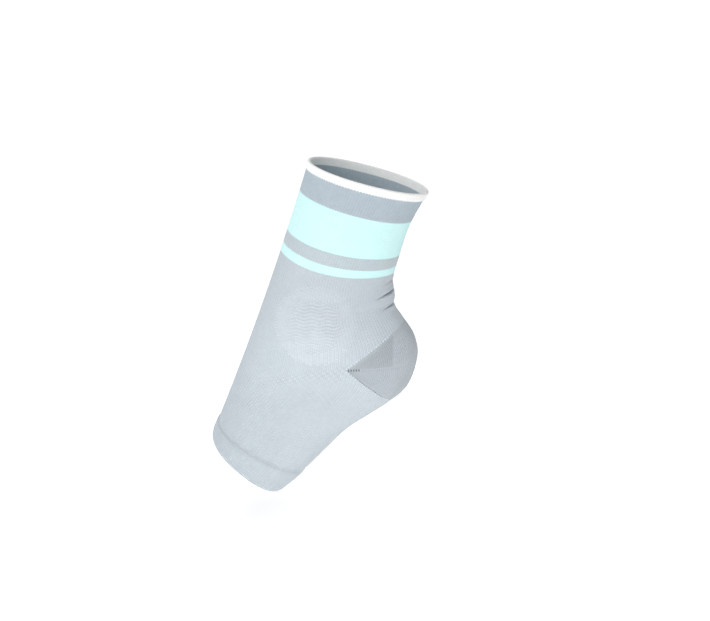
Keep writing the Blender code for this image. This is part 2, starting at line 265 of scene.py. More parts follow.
def grid_mesh(name, points, stitches, marks, in_rings):
    """A mesh over a grid of points, with the stitch under each corner in a UV map. Its last row meets its
    first one, and where the rows are rings its columns do so too. marks are masks for the material, each a
    name with a value for every point."""
    rows, columns = points.shape[:2]
    number = np.arange(rows * columns).reshape(rows, columns)
    faces_across = columns if in_rings else columns - 1
    r, c = (g.ravel() for g in np.meshgrid(np.arange(rows), np.arange(faces_across), indexing="ij"))
    corners = ((r, c), (r, c + 1), (r + 1, c + 1), (r + 1, c))
    faces = np.stack([number[a % rows, b % columns] for a, b in corners], axis=1)
    mesh = bpy.data.meshes.new(name)
    mesh.from_pydata(points.reshape(-1, 3), [], faces)
    wide = np.concatenate((stitches, stitches[:, :1] + np.array((WALES, 0.0))), axis=1)
    wide = np.concatenate((wide, wide[-1:]), axis=0)
    uv = np.stack([wide[np.minimum(a, rows), b] for a, b in corners], axis=1)
    mesh.uv_layers.new(name="stitches").data.foreach_set("uv", uv.ravel())
    for mark, values in marks.items():
        mesh.attributes.new(mark, "FLOAT", "POINT").data.foreach_set("value", np.ravel(values))
    return mesh


def ring_places(profile):
    """Heights and turns of a band's corners, with a row for each step of its profile."""
    turns = np.arange(WALES * WALE_STEPS) / (WALES * WALE_STEPS)
    return np.meshgrid(np.array(profile)[:, 0], turns, indexing="ij")


def knit_ring(name, profile, relief, base=None, marks=None):
    """A closed band of knit. Its profile is (height, lift, share of the relief), up the outside and down
    the inside, and relief(height, turn) is what stands out from it. base(height, turn) moves the inside,
    and marks are masks for the material, each a name with its own function of height and turn."""
    along, turn = ring_places(profile)
    profile = np.array(profile)
    lift = profile[:, 1:2] + relief(along, turn) * profile[:, 2:3]
    if base:
        lift = lift + base(along, turn) * (profile[:, 1:2] == 0)
    points = on_sleeve(along + stitch_slant(along, turn), turn, lift)
    stitches = np.stack((turn * WALES, along / COURSE_PITCH), axis=2)
    values = {mark: value(along, turn) for mark, value in (marks or {}).items()}
    return grid_mesh(name, points, stitches, values, in_rings=True)


def wall_sides(low, high, wall, rows, inner_rows):
    """The outside of a plain wall from low to high, and its inside from high to low."""
    outside = [(h, wall, 1.0) for h in np.linspace(low, high, rows + 1)]
    inside = [(h, 0.0, 0.0) for h in np.linspace(high, low, inner_rows + 1)]
    return outside, inside


def turned_edge(end, wall, roll):
    """The round fold at an open edge, from the outside in. It stands this roll past the end of the wall."""
    fold = []
    for angle in np.linspace(0, math.pi, FOLD_STEPS + 1)[1:-1]:
        share = (1 + math.cos(angle)) / 2
        fold.append((end + roll * math.sin(angle), wall * share, share))
    return fold


def srgb(red, green, blue):
    """A colour as it is seen, from 0 to 255, as the light that it sends back."""
    seen = np.array((red, green, blue)) / 255
    light = np.where(seen <= 0.04045, seen / 12.92, ((seen + 0.055) / 1.055) ** 2.4)
    return (*light, 1.0)


def join(tree, *steps):
    """Wires sockets together, given as (from, to) pairs."""
    for source, target in steps:
        tree.links.new(source, target)


def calculate(tree, operation, *values):
    """A Math node on sockets or plain numbers. Returns its result."""
    node = tree.nodes.new("ShaderNodeMath")
    node.operation = operation
    for socket, value in zip(node.inputs, values):
        if isinstance(value, (int, float)):
            socket.default_value = value
        else:
            tree.links.new(value, socket)
    return node.outputs[0]


def shaded(tree, colour, factor):
    """A colour, from a socket or plain, made darker or lighter by a factor."""
    node = tree.nodes.new("ShaderNodeVectorMath")
    node.operation = "SCALE"
    if isinstance(colour, tuple):
        node.inputs[0].default_value = colour
    else:
        tree.links.new(colour, node.inputs[0])
    tree.links.new(factor, node.inputs["Scale"])
    return node.outputs[0]


def rounded(tree, place):
    """The roundness of a strand: 1 in its middle, and 0 at its edges, where place is -1 and 1."""
    return calculate(tree, "SUBTRACT", 1.0, calculate(tree, "MULTIPLY", place, place))


STRAND_FORM = 0.7
COURSE_ARCH = 0.45
COURSE_LOW = 0.55
TUCK_CONTRAST = 0.14
TUCK_LIGHT = 0.05
MOTTLE_SCALE = 0.16
MOTTLE_DETAIL = 3.0


def knit_group():
    """Stitches of a plain knit. Takes the stitch under a point and the yarn's colour. Puts out the colour
    with painted shade in its furrows, uneven stitches and slow unevenness, and the height of the yarn."""
    tree = bpy.data.node_groups.new("plain knit", "ShaderNodeTree")
    for name, kind, value in (
        ("Stitches", "NodeSocketVector", None),
        ("Yarn", "NodeSocketColor", (0.5, 0.5, 0.5, 1.0)),
        ("Furrow Shade", "NodeSocketFloat", 0.8),
        ("Uneven Stitches", "NodeSocketFloat", 0.05),
        ("Mottle", "NodeSocketFloat", 0.04),
        ("Tucks", "NodeSocketFloat", 0.0),
    ):
        socket = tree.interface.new_socket(name, in_out="INPUT", socket_type=kind)
        if value is not None:
            socket.default_value = value
    tree.interface.new_socket("Colour", in_out="OUTPUT", socket_type="NodeSocketColor")
    tree.interface.new_socket("Height", in_out="OUTPUT", socket_type="NodeSocketFloat")
    given = tree.nodes.new("NodeGroupInput").outputs
    put_out = tree.nodes.new("NodeGroupOutput").inputs

    split = tree.nodes.new("ShaderNodeSeparateXYZ")
    tree.links.new(given["Stitches"], split.inputs[0])
    shifted = calculate(tree, "ADD", split.outputs["X"], 0.5)
    across = calculate(tree, "SUBTRACT", calculate(tree, "FRACT", shifted), 0.5)
    across = calculate(tree, "ABSOLUTE", across)
    up = calculate(tree, "FRACT", split.outputs["Y"])
    # Each leg of the V is a rounded strand: high along its middle, low at its edges and between two courses
    leg = calculate(tree, "SUBTRACT", calculate(tree, "MULTIPLY", across, 4.0), 1.0)
    row = calculate(tree, "SUBTRACT", calculate(tree, "MULTIPLY", up, 2.0), 1.0)
    strand = calculate(tree, "POWER", calculate(tree, "MAXIMUM", rounded(tree, leg), 0.0), STRAND_FORM)
    arch = calculate(tree, "MULTIPLY", rounded(tree, row), COURSE_ARCH)
    height = calculate(tree, "MULTIPLY", strand, calculate(tree, "ADD", arch, COURSE_LOW))

    whole = tree.nodes.new("ShaderNodeCombineXYZ")
    wale = calculate(tree, "FLOOR", shifted)
    course = calculate(tree, "FLOOR", split.outputs["Y"])
    join(tree, (wale, whole.inputs["X"]), (course, whole.inputs["Y"]))
    # Every other stitch of every other course is tucked, and leaves a small hole beside a raised one
    every_other = calculate(tree, "FLOORED_MODULO", calculate(tree, "ADD", wale, course), 2.0)
    hole = calculate(tree, "MULTIPLY", every_other, TUCK_CONTRAST)
    hole = calculate(tree, "SUBTRACT", hole, TUCK_LIGHT)
    each = tree.nodes.new("ShaderNodeTexWhiteNoise")
    each.noise_dimensions = "2D"
    slow = tree.nodes.new("ShaderNodeTexNoise")
    slow.inputs["Scale"].default_value = MOTTLE_SCALE
    slow.inputs["Detail"].default_value = MOTTLE_DETAIL
    join(tree, (whole.outputs[0], each.inputs["Vector"]), (given["Stitches"], slow.inputs["Vector"]))

    # Painted shade: the yarn's colour gets darker down in the furrows between the strands, as far as Furrow
    # Shade
    over_furrow = calculate(tree, "SUBTRACT", 1.0, given["Furrow Shade"])
    painted_furrow_shade = calculate(tree, "ADD", given["Furrow Shade"], calculate(tree, "MULTIPLY", height, over_furrow))
    stitch = calculate(tree, "SUBTRACT", each.outputs["Value"], 0.5)
    stitch = calculate(tree, "MULTIPLY", stitch, given["Uneven Stitches"])
    cloud = calculate(tree, "SUBTRACT", slow.outputs["Fac"], 0.5)
    cloud = calculate(tree, "MULTIPLY", cloud, given["Mottle"])
    tucked = calculate(tree, "SUBTRACT", 1.0, calculate(tree, "MULTIPLY", hole, given["Tucks"]))
    tone = calculate(tree, "ADD", calculate(tree, "ADD", stitch, cloud), tucked)
    colour = shaded(tree, given["Yarn"], calculate(tree, "MULTIPLY", painted_furrow_shade, tone))
    join(tree, (colour, put_out["Colour"]), (height, put_out["Height"]))
    return tree


PLAIN_KNIT = knit_group()
YARN_ROUGHNESS = 0.86
YARN_SPECULAR = 0.25
YARN_SHEEN = 0.12
YARN_SHEEN_ROUGHNESS = 0.45


def yarn_surface(name):
    """A new material with yarn's dull and slightly fuzzy surface. Returns it, its nodes and its shader."""
    material = bpy.data.materials.new(name)
    material.use_nodes = True
    tree = material.node_tree
    shader = tree.nodes["Principled BSDF"]
    shader.inputs["Roughness"].default_value = YARN_ROUGHNESS
    shader.inputs["Specular IOR Level"].default_value = YARN_SPECULAR
    shader.inputs["Sheen Weight"].default_value = YARN_SHEEN
    shader.inputs["Sheen Roughness"].default_value = YARN_SHEEN_ROUGHNESS
    return material, tree, shader


def read_mark(tree, name):
    """One of the masks that a mesh carries, as a number."""
    mark = tree.nodes.new("ShaderNodeAttribute")
    mark.attribute_name = name
    return mark.outputs["Fac"]


def knit_material(name, yarn, furrows, uneven, mottle, bump, tucks="", tone=None):
    """A knitted yarn. yarn is its colour, furrows how light its furrows stay under their painted shade,
    uneven and mottle how much single stitches and whole patches differ, and bump the height of its stitches
    in metres.
    tucks is the mask of the tucked stitches, and tone(tree) may put out a factor that shades the yarn over
    the surface."""
    material, tree, shader = yarn_surface(name)
    stitches = tree.nodes.new("ShaderNodeUVMap")
    stitches.uv_map = "stitches"
    knit = tree.nodes.new("ShaderNodeGroup")
    knit.node_tree = PLAIN_KNIT
    knit.inputs["Yarn"].default_value = yarn
    knit.inputs["Furrow Shade"].default_value = furrows
    knit.inputs["Uneven Stitches"].default_value = uneven
    knit.inputs["Mottle"].default_value = mottle
    relief = tree.nodes.new("ShaderNodeBump")
    relief.inputs["Distance"].default_value = bump
    join(
        tree,
        (stitches.outputs[0], knit.inputs["Stitches"]),
        (knit.outputs["Height"], relief.inputs["Height"]),
        (relief.outputs[0], shader.inputs["Normal"]),
    )
    if tucks:
        tree.links.new(read_mark(tree, tucks), knit.inputs["Tucks"])
    colour = knit.outputs["Colour"]
    if tone:
        colour = shaded(tree, colour, tone(tree))
    tree.links.new(colour, shader.inputs["Base Color"])
    return material


def welt_relief(along, turn):
    """The wales, and the groove over the cuff band, which is as deep as half its width."""
    return ribs(turn, WELT_RIB) - WELT_GROOVE * swell(along - CUFF_TOP, WELT_GROOVE)


def welt_profile():
    """Up the outside, round the turned edge and down the inside."""
    end = LEG_LENGTH - WELT_ROLL
    outside, inside = wall_sides(CUFF_TOP, end, WELT_WALL, WELT_ROWS, WELT_INNER_ROWS)
    return outside + turned_edge(end, WELT_WALL, WELT_ROLL) + inside


WHITE_YARN = srgb(253, 254, 253)
white = knit_material("white yarn", WHITE_YARN, furrows=0.92, uneven=0.03, mottle=0.02, bump=0.00022)
link(knit_ring("knit_top_welt", welt_profile(), welt_relief), white, "white_yarn", "top_welt")

# Cuff band
# A firm rib in cool grey yarn that keeps the sleeve up. It is knitted on to the welt, and its wales stand a
# little prouder than those of the body.

BAND_WALL = 0.0016
BAND_RIB = 0.00012
GREY_YARN = srgb(183, 196, 206)


def band_relief(along, turn):
    return ribs(turn, BAND_RIB)


def plain_band(name, node, material, slot, low, high, rows):
    """One colour of the leg, knitted on to the next. Its inside needs only a third of the rows."""
    outside, inside = wall_sides(low, high, BAND_WALL, rows, rows // 3)
    link(knit_ring(name, outside + inside, band_relief), material, slot, node)


cuff_grey = knit_material("cuff grey yarn", GREY_YARN, furrows=0.80, uneven=0.07, mottle=0.06, bump=0.00022)
plain_band("knit_cuff_band", "cuff_band", cuff_grey, "grey_yarn", AQUA_TOP, CUFF_TOP, rows=20)

# Aqua band, grey ring and aqua stripe
# Three stretches of the same knit in which only the yarn changes: a wide aqua band, a thin grey ring and a
# thin aqua stripe. Each is knitted straight on to the one above it.

AQUA_YARN = srgb(215, 253, 254)
RING_YARN = srgb(194, 207, 213)
aqua = knit_material("aqua yarn", AQUA_YARN, furrows=0.86, uneven=0.03, mottle=0.03, bump=0.00022)
ring_grey = knit_material("ring grey yarn", RING_YARN, furrows=0.82, uneven=0.05, mottle=0.04, bump=0.00022)
plain_band("knit_aqua_band", "aqua_band", aqua, "aqua_yarn", RING_TOP, AQUA_TOP, rows=32)
plain_band("knit_grey_ring", "grey_ring", ring_grey, "grey_yarn", STRIPE_TOP, RING_TOP, rows=12)
plain_band("knit_aqua_stripe", "aqua_stripe", aqua, "aqua_yarn", BODY_TOP, STRIPE_TOP, rows=8)

# Body
# The light grey body over the ankle, instep and arch, in one plain knit. Where it is slack, behind the
# ankle, it creases, and it has windows where the heel pocket and the two ankle zones are worked in.

BODY_WALL = 0.0015
BODY_RIB = 0.00008
BODY_GREY = srgb(195, 205, 212)
LOW_ROWS = 55
CREASED_FROM = -0.002
CREASED_ROWS = 103
HEM_HEIGHT = 0.0105
HEM_TOP = HEM_HEIGHT - FOOT_LENGTH
HEM_GROOVE_HALF_WIDTH = 0.0012
HEM_GROOVE_DEPTH = 0.0004
POCKET_BELOW = math.radians(57.0)
POCKET_RISE = math.radians(35.0)
POCKET_FALL = math.radians(40.0)
ZONE_TO_POCKET = 0.0090
POCKET_TIP = (ZONE_RADIUS + ZONE_TO_POCKET) * np.array((math.cos(POCKET_BELOW), -math.sin(POCKET_BELOW)))

# Creases behind the ankle: height at the back, how far they fall for each metre forwards and how far they
# reach, on the outer and the inner side, the depth and half the width
Crease = namedtuple("Crease", "height outer_fall inner_fall outer_reach inner_reach depth half_width")
CREASES = (
    Crease(0.0405, 0.04, 0.20, 0.019, 0.024, 0.0010, 0.0020),
    Crease(0.0286, 0.20, 0.32, 0.025, 0.025, 0.0027, 0.0013),
    Crease(0.0115, 0.16, 0.24, 0.019, 0.027, 0.0017, 0.0012),
)
DEEPEST = max(crease.depth for crease in CREASES)
CREASE_TAPER = 0.6
CREASE_FADE_FORM = 1.1
CREASE_END_WIDTH = 0.5
CREASE_BASE_WIDER = 2.4
BACK_ROUNDING = 0.0060
BACK_SHARE = 0.36
BACK_HALF_WIDTH = 0.0036
BACK_GIRTH = 0.228
PUFF_HEIGHT = 0.0010
PUFF_OFFSET = 0.0030
PUFF_HALF_WIDTH = 0.0022


def creases(along, turn, wider=1.0):
    """The depth of the creases, and how far the slack knit puffs up above and below each. They run round
    the back in a curve, and are deepest beside it."""
    from_back = np.abs(turn % 1 - 0.5) * BACK_GIRTH
    curved = np.sqrt(from_back**2 + BACK_ROUNDING**2) - BACK_ROUNDING
    outer = turn % 1 < 0.5
    beside = BACK_SHARE + (1 - BACK_SHARE) * ramp(from_back, BACK_HALF_WIDTH) ** 2
    valleys, puffs = np.zeros(np.shape(along)), np.zeros(np.shape(along))
    for crease in CREASES:
        away = along - crease.height + np.where(outer, crease.outer_fall, crease.inner_fall) * curved
        reach = np.where(outer, crease.outer_reach, crease.inner_reach)
        fade = ramp(reach - from_back, CREASE_TAPER * reach) ** CREASE_FADE_FORM
        width = crease.half_width * wider * (CREASE_END_WIDTH + (1 - CREASE_END_WIDTH) * fade)
        valleys = np.maximum(valleys, crease.depth * fade * beside * swell(away, width))
        for side in (-1, 1):
            puff = swell(away - side * PUFF_OFFSET, PUFF_HALF_WIDTH)
            puffs = np.maximum(puffs, fade * beside * puff * crease.depth / DEEPEST)
    return valleys, PUFF_HEIGHT * puffs


def hem_groove(along):
    """The groove between the body and the foot hem, 1 where it is deepest."""
    return swell(along - HEM_TOP, HEM_GROOVE_HALF_WIDTH)


def body_relief(along, turn):
    """The wales, the creases with their puffs, and the groove over the hem."""
    valleys, puffs = creases(along, turn)
    return ribs(turn, BODY_RIB) + puffs - valleys - HEM_GROOVE_DEPTH * hem_groove(along)


def body_base(along, turn):
    """The inside of the wall, which gives way under the creases."""
    return -creases(along, turn, CREASE_BASE_WIDER)[0]


def body_profile():
    """Rows stand closer behind the ankle, where the creases are."""
    low = np.linspace(HEM_TOP, CREASED_FROM, LOW_ROWS + 1)
    high = np.linspace(CREASED_FROM, BODY_TOP, CREASED_ROWS + 1)
    heights = np.concatenate((low[:-1], high))
    outside = [(h, BODY_WALL, 1.0) for h in heights]
    inside = [(h, 0.0, 0.0) for h in heights[::-2]]
    return outside + inside


def in_pocket(x, z):
    """How deep a point lies inside the heel pocket's wedge, seen from the side."""
    dx, dz = x - POCKET_TIP[0], z - POCKET_TIP[1]
    below_upper = dx * math.sin(POCKET_RISE) - dz * math.cos(POCKET_RISE)
    above_lower = dx * math.sin(POCKET_FALL) + dz * math.cos(POCKET_FALL)
    return np.minimum(below_upper, above_lower)


def in_zone(x, z):
    """How deep a point lies inside the round ankle zone, seen from the side."""
    return ZONE_RADIUS - np.hypot(x, z)


def open_loops(form):
    """The open edges of a mesh, sorted into loops, in the same order each run."""
    left = dict.fromkeys(e for e in form.edges if e.is_boundary)
    loops = []
    while left:
        edge = left.popitem()[0]
        loop, ends = [edge], list(edge.verts)
        while ends:
            vert = ends.pop()
            for beside in vert.link_edges:
                if beside in left:
                    del left[beside]
                    loop.append(beside)
                    ends.append(beside.other_vert(vert))
        loops.append(loop)
    return loops


def loop_middle(loop):
    points = [v.co for e in loop for v in e.verts]
    return sum(points, Vector()) / len(points)


# Before the cut no point may lie right on a window's edge
OFF_LINE = 1e-7


def cut_windows(mesh, depth):
    """Cuts the mesh along the line where depth, given for each point, is zero. Takes out what lies deeper,
    and closes the wall between the cut edges of its outside and its inside."""
    form = bmesh.new()
    form.from_mesh(mesh)
    form.verts.ensure_lookup_table()
    depth = np.where(np.abs(depth) < OFF_LINE, -OFF_LINE, depth)
    layer = form.verts.layers.float.new("depth")
    for vert, value in zip(form.verts, depth):
        vert[layer] = value
    pairs = np.array([(e.verts[0].index, e.verts[1].index) for e in form.edges])
    form.edges.ensure_lookup_table()
    crossing = np.nonzero(depth[pairs[:, 0]] * depth[pairs[:, 1]] < 0)[0]
    on_line = []
    for edge in [form.edges[i] for i in crossing]:
        first, second = edge.verts
        share = first[layer] / (first[layer] - second[layer])
        made = bmesh.utils.edge_split(edge, first, share)[1]
        made[layer] = 0.0
        on_line.append(made)
    touched = dict.fromkeys(face for vert in on_line for face in vert.link_faces)
    for face in touched:
        ends = [v for v in face.verts if v[layer] == 0.0]
        if len(ends) == 2:
            bmesh.utils.face_split(face, ends[0], ends[1])
    inside = [f for f in form.faces if max(v[layer] for v in f.verts) > 0]
    bmesh.ops.delete(form, geom=inside, context="FACES")
    loops = open_loops(form)
    while loops:
        loop = loops.pop()
        middle = loop_middle(loop)
        partner = min(loops, key=lambda other: (loop_middle(other) - middle).length)
        loops.remove(partner)
        bmesh.ops.bridge_loops(form, edges=loop + partner)
    form.verts.layers.float.remove(layer)
    bmesh.ops.recalc_face_normals(form, faces=form.faces)
    form.to_mesh(mesh)
    form.free()


# Two bands of tucked stitches run forwards from the heel pocket's tip, as (turn, height) points. The lower
# one is looser.
TUCK_BANDS = (
    (
        (0.1149, -0.0427),
        (0.1533, -0.0380),
        (0.1935, -0.0356),
        (0.2354, -0.0341),
        (0.2775, -0.0330),
        (0.2850, -0.0318),
    ),
    (
        (0.2072, -0.0416),
        (0.2596, -0.0465),
        (0.3016, -0.0485),
    ),
)
TUCK_STRENGTHS = (0.9, 0.5)
TUCK_HALF_WIDTH = 0.0030
TUCK_FADE = 0.020


def body_tucks(along, turn):
    """How much of the knit is tucked, alike on both sides."""
    around = np.where(turn > 0.5, 1 - turn, turn)
    mask = np.zeros(np.shape(along))
    for band, strength in zip(TUCK_BANDS, TUCK_STRENGTHS):
        turns, heights = np.array(band).T
        away = along - np.interp(around, turns, heights)
        ends = ramp(around - turns[0], TUCK_FADE) * ramp(turns[-1] + TUCK_FADE - around, TUCK_FADE)
        mask = np.maximum(mask, strength * ends * swell(away, TUCK_HALF_WIDTH))
    return mask


body_mesh = knit_ring("knit_sleeve_body", body_profile(), body_relief, body_base, {"tucks": body_tucks})
body_along, body_turn = ring_places(body_profile())
under = on_sleeve(body_along + stitch_slant(body_along, body_turn), body_turn).reshape(-1, 3)
cut_windows(body_mesh, np.maximum(in_pocket(under[:, 0], under[:, 2]), in_zone(under[:, 0], under[:, 2])))
body_grey = knit_material(
    "body grey yarn", BODY_GREY, furrows=0.84, uneven=0.05, mottle=0.05, bump=0.00020, tucks="tucks"
)
link(body_mesh, body_grey, "body_yarn", "sleeve_body")

# Heel pocket
# A cup of firmer, darker knit that is turned in short rows. They meet in a gore, a line from the pocket's
# tip on each side round the heel, which starts with a row of small holes.

POCKET_STAND = 0.00025
POCKET_EDGE = 0.0016
POCKET_RIB = 0.00006
POCKET_WALE = 0.0015
POCKET_ROWS = 90
POCKET_COLUMNS = 300
POCKET_SAMPLES = 220
HEEL_GREY = srgb(181, 190, 197)
SKIN_STEP = 2
SAME_POINT = 1e-6

# The gore, lighter than the rest and lightest where it ends, and its small holes
GORE_DEPTH = 0.00025
GORE_HALF_WIDTH = 0.0007
GORE_REACH = 0.0533
GORE_FADE = 0.0410
GORE_EDGE = 0.0008
GORE_LIGHT = 0.8
GORE_END = 0.0380
GORE_END_HALF_WIDTH = 0.0030
GORE_END_LIGHT = 1.4
EYELETS = 6.0
EYELET_PITCH = 0.0017
EYELETS_START = -0.0004
EYELET_SHARE = 0.42
EYELET_HALF_HEIGHT = 0.0011

# Darker tone: inside the upper edge, in a strip along the lower one, and round the tip
UPPER_INSET = 0.00054
UPPER_FADE = 0.0018
STRIP_WIDTH = 0.0026
STRIP_REACH = 0.0280
STRIP_FADE = 0.0200
STRIP_DARK = 0.8
TIP_REACH = 0.030
TIP_DARK = 0.3

# The cap behind the heel gets painted light, more towards its back and its top, and it starts with a painted
# highlight, a streak that is as light as the gore
CAP_START = 0.0505
CAP_EDGE = 0.0012
CAP_PAINTED_LIGHT_START = 0.0560
CAP_PAINTED_LIGHT_FADE = 0.0120
CAP_PAINTED_LIGHT = 0.65
STREAK_PAST_CAP = 0.0008
STREAK_HALF_WIDTH = 0.0009
STREAK_FOOT_FADE = 0.004
STREAK_TOP = 0.017
STREAK_TOP_FADE = 0.003

DARK_STRENGTH = 0.13
LIGHT_STRENGTH = 0.07
EYELET_STRENGTH = 0.80


def ring_faces(rows, columns):
    """Faces over a grid of points whose rows close into rings."""
    number = np.arange(rows * columns).reshape(rows, columns)
    beside = np.roll(number, -1, axis=1)
    return np.stack((number[:-1], beside[:-1], beside[1:], number[1:]), axis=2).reshape(-1, 4).tolist()


# The skin as faces that a line can be shot at
COARSE_SKIN = SKIN[::SKIN_STEP, ::SKIN_STEP]
SKIN_TREE = BVHTree.FromPolygons(COARSE_SKIN.reshape(-1, 3).tolist(), ring_faces(*COARSE_SKIN.shape[:2]))


def place_on_skin(start, direction):
    """Height and turn of the place where a line from start meets the skin."""
    hit, _, face, _ = SKIN_TREE.ray_cast(Vector(start), Vector(direction))
    columns = SKIN_COLUMNS // SKIN_STEP
    row, column = (SKIN_STEP * n for n in divmod(face, columns))
    corner = SKIN[row, column]
    to_side = SKIN[row, (column + SKIN_STEP) % SKIN_COLUMNS] - corner
    upward = SKIN[row + SKIN_STEP, column] - corner
    away = np.array(hit) - corner
    turn = (column + SKIN_STEP * away @ to_side / (to_side @ to_side)) / SKIN_COLUMNS
    rise = SKIN_STEP * away @ upward / (upward @ upward)
    return SKIN_HEIGHTS[row] + rise * (SKIN_HEIGHTS[1] - SKIN_HEIGHTS[0]), turn


def pocket_places():
    """Heights and turns of the pocket's grid. Rows fan out from the tips, columns run round the heel."""
    centre = np.array((POCKET_TIP[0], 0.0, POCKET_TIP[1]))
    alongs, turns = [], []
    for fan in np.linspace(-POCKET_FALL, POCKET_RISE, POCKET_ROWS):
        places = []
        for sweep in np.linspace(-math.pi / 2, math.pi / 2, POCKET_SAMPLES):
            outward = math.cos(sweep)
            direction = (outward * math.cos(fan), math.sin(sweep), outward * math.sin(fan))
            places.append(place_on_skin(centre, direction))
        places = np.array(places)
        lengths = run_lengths(on_sleeve(places[:, 0], places[:, 1]))
        even = np.linspace(0, lengths[-1], POCKET_COLUMNS)
        alongs.append(np.interp(even, lengths, places[:, 0]))
        turns.append(np.interp(even, lengths, places[:, 1]))
    return np.array(alongs), np.array(turns)


def both_sides(outer, inner):
    """One grid, over the outside and back over the inside."""
    return np.concatenate((outer, inner[::-1]))


def heel_pocket(along, turn):
    """The pocket's mesh, a little proud of the body, with the masks that shade its yarn."""
    skin = on_sleeve(along, turn)
    x, z = skin[..., 0], skin[..., 2]
    dx, dz = x - POCKET_TIP[0], z - POCKET_TIP[1]
    from_tip = np.hypot(dx, dz)
    inside = np.maximum(in_pocket(x, z), 0)
    run = np.array([run_lengths(row) for row in skin])
    gore = swell(dz, GORE_HALF_WIDTH) * ramp(GORE_REACH - from_tip, GORE_FADE)
    step_up = BODY_WALL + POCKET_STAND * (1 - np.exp(-inside / POCKET_EDGE))
    wales = POCKET_RIB * np.cos(2 * math.pi * run / POCKET_WALE) * ramp(inside, POCKET_EDGE)
    outer = on_sleeve(along, turn, step_up - GORE_DEPTH * gore + wales)

    cap = ramp(x - CAP_START, CAP_EDGE)
    upper = ramp(dz, GORE_EDGE) * ramp(inside - UPPER_INSET, UPPER_FADE)
    strip = STRIP_DARK * swell(inside, STRIP_WIDTH) * ramp(STRIP_REACH - from_tip, STRIP_FADE)
    lower = ramp(-dz, GORE_EDGE) * (strip + TIP_DARK * ramp(TIP_REACH - from_tip, TIP_REACH))
    gore_light = gore * (GORE_LIGHT + GORE_END_LIGHT * swell(from_tip - GORE_END, GORE_END_HALF_WIDTH))
    # Painted highlight: a light streak where the cap starts
    highlight_streak = swell(x - CAP_START - STREAK_PAST_CAP, STREAK_HALF_WIDTH) * ramp(dz, STREAK_FOOT_FADE)
    highlight_streak = highlight_streak * ramp(STREAK_TOP - dz, STREAK_TOP_FADE)
    # Painted light over the cap, growing towards its back and its top
    painted_cap_light = CAP_PAINTED_LIGHT * ramp(np.maximum(x - CAP_PAINTED_LIGHT_START, cap * dz), CAP_PAINTED_LIGHT_FADE)
    marks = {
        "dark": (upper + lower) * (1 - cap),
        "light": np.maximum(np.maximum(gore_light, highlight_streak), painted_cap_light),
        "from tip": dx,
        "above gore": dz,
    }
    marks = {mark: both_sides(values, values) for mark, values in marks.items()}
    stitches = np.stack((run / POCKET_WALE, inside / COURSE_PITCH), axis=2)
    points = both_sides(outer, skin)
    mesh = grid_mesh("knit_heel_pocket", points, both_sides(stitches, stitches), marks, in_rings=False)
    form = bmesh.new()
    form.from_mesh(mesh)
    bmesh.ops.remove_doubles(form, verts=form.verts, dist=SAME_POINT)
    form.to_mesh(mesh)
    form.free()
    return mesh


def pocket_tone(tree):
    """Darker above the gore inside the upper edge, along the lower edge and round the tip, lighter on the
    gore itself, with painted light on the cap and a painted highlight where it starts, and darker in the
    gore's small holes."""
    dark = calculate(tree, "MULTIPLY", read_mark(tree, "dark"), DARK_STRENGTH)
    light = calculate(tree, "MULTIPLY", read_mark(tree, "light"), LIGHT_STRENGTH)
    along_gore = calculate(tree, "SUBTRACT", read_mark(tree, "from tip"), EYELETS_START)
    number = calculate(tree, "DIVIDE", along_gore, EYELET_PITCH)
    across = calculate(tree, "SUBTRACT", calculate(tree, "FRACT", number), 0.5)
    across = calculate(tree, "POWER", calculate(tree, "DIVIDE", across, EYELET_SHARE), 2.0)
    upwards = calculate(tree, "DIVIDE", read_mark(tree, "above gore"), EYELET_HALF_HEIGHT)
    upwards = calculate(tree, "POWER", upwards, 2.0)
    round_hole = calculate(tree, "SUBTRACT", 1.0, calculate(tree, "ADD", across, upwards))
    started = calculate(tree, "GREATER_THAN", number, 0.0)
    within = calculate(tree, "MULTIPLY", started, calculate(tree, "LESS_THAN", number, EYELETS))
    hole = calculate(tree, "MULTIPLY", calculate(tree, "MAXIMUM", round_hole, 0.0), within)
    lit = calculate(tree, "ADD", calculate(tree, "SUBTRACT", 1.0, dark), light)
    return calculate(tree, "SUBTRACT", lit, calculate(tree, "MULTIPLY", hole, EYELET_STRENGTH))


pocket_along, pocket_turn = pocket_places()
heel_grey = knit_material(
    "heel grey yarn", HEEL_GREY, furrows=0.82, uneven=0.05, mottle=0.05, bump=0.00020, tone=pocket_tone
)
link(heel_pocket(pocket_along, pocket_turn), heel_grey, "heel_yarn", "heel_pocket")

# Pocket's seam stitches
# Light stitches that pick up the ends of the short rows and hold the heel pocket to the body. They stand in
# a row along both of its edges, proud at the tips and sunk in behind the heel.

SEAM_STITCH_PITCH = 0.0021
SEAM_STITCH = (0.00078, 0.00040, 0.00026)
SEAM_STITCH_OUT = 0.0004
SEAM_INNER_ROW = 3
SEAM_LEAST = 0.62
SEAM_UNEVEN = 0.22
SEAM_BEAT = 2.3
SEAM_BEAT_GROWTH = 1.3
PROUD_PLACES = (0.004, 0.040)
PROUD_LENGTH = 0.0065
SEAM_PAST_CAP = 0.002
SEAM_CAP_FADE = 0.004
SEAM_SUNK = 0.3
SEAM_YARN = srgb(220, 229, 235)
SEAM_TONE = 0.92
SEAM_PLY_SCALE = 900.0
SEAM_PLY_SWAY = 1.5
SEAM_PLY_PAINTED_SHADE = 0.10
SEAM_MOTTLE_SCALE = 420.0
SEAM_MOTTLE = 0.22
SEAM_BUMP = 0.00008


